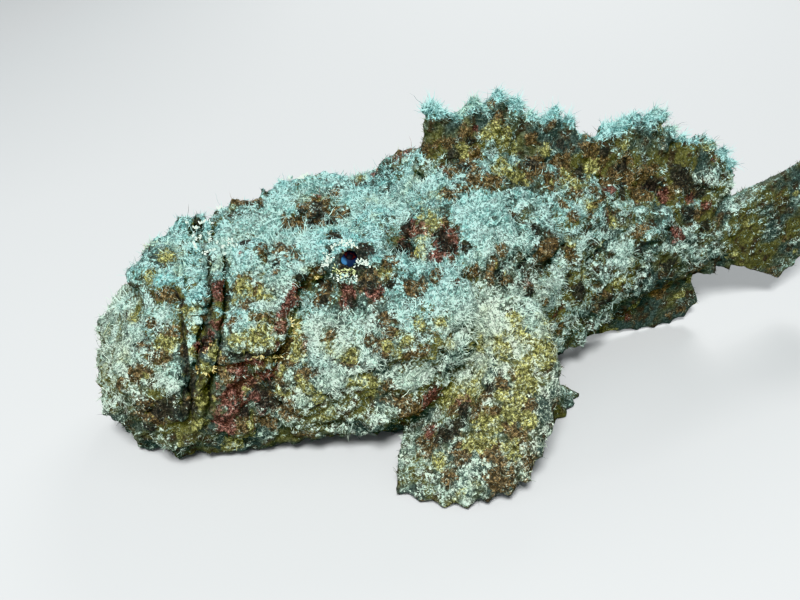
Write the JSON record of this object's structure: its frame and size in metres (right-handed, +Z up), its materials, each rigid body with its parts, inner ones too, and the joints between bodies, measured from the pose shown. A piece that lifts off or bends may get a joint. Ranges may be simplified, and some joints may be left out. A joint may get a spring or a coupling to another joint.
{
  "type": "stonefish",
  "caption": "Life-size still model of a warty stonefish lying on its belly, with a broad upturned mouth, a thick spiny fin along its back and fan-shaped side fins.",
  "frame": {"origin": "centre of the model's length and width, at the level of the surface that its belly rests on", "axes": "+X from the chin to the tail fin, +Y towards the fish's right side, +Z up"},
  "size_m": [0.35, 0.1866, 0.1298],
  "materials": {
    "skin": "matt, mottled pale grey-green, warty and overgrown",
    "fins": "matt, mottled olive, yellow and dark red-brown",
    "eyes": "wet gloss, dark blue with a cream flecked rim"
  },
  "bodies": {
    "root": {"head": "skin", "lower_jaw": "skin", "torso": "skin", "tail": "skin", "dorsal_fin": "fins", "anal_fin": "fins", "caudal_fin": "fins", "pectoral_fin_left": "fins", "pectoral_fin_right": "fins", "pelvic_fin_left": "fins", "pelvic_fin_right": "fins", "eye_left": "eyes", "eye_right": "eyes"}
  },
  "joints": []
}
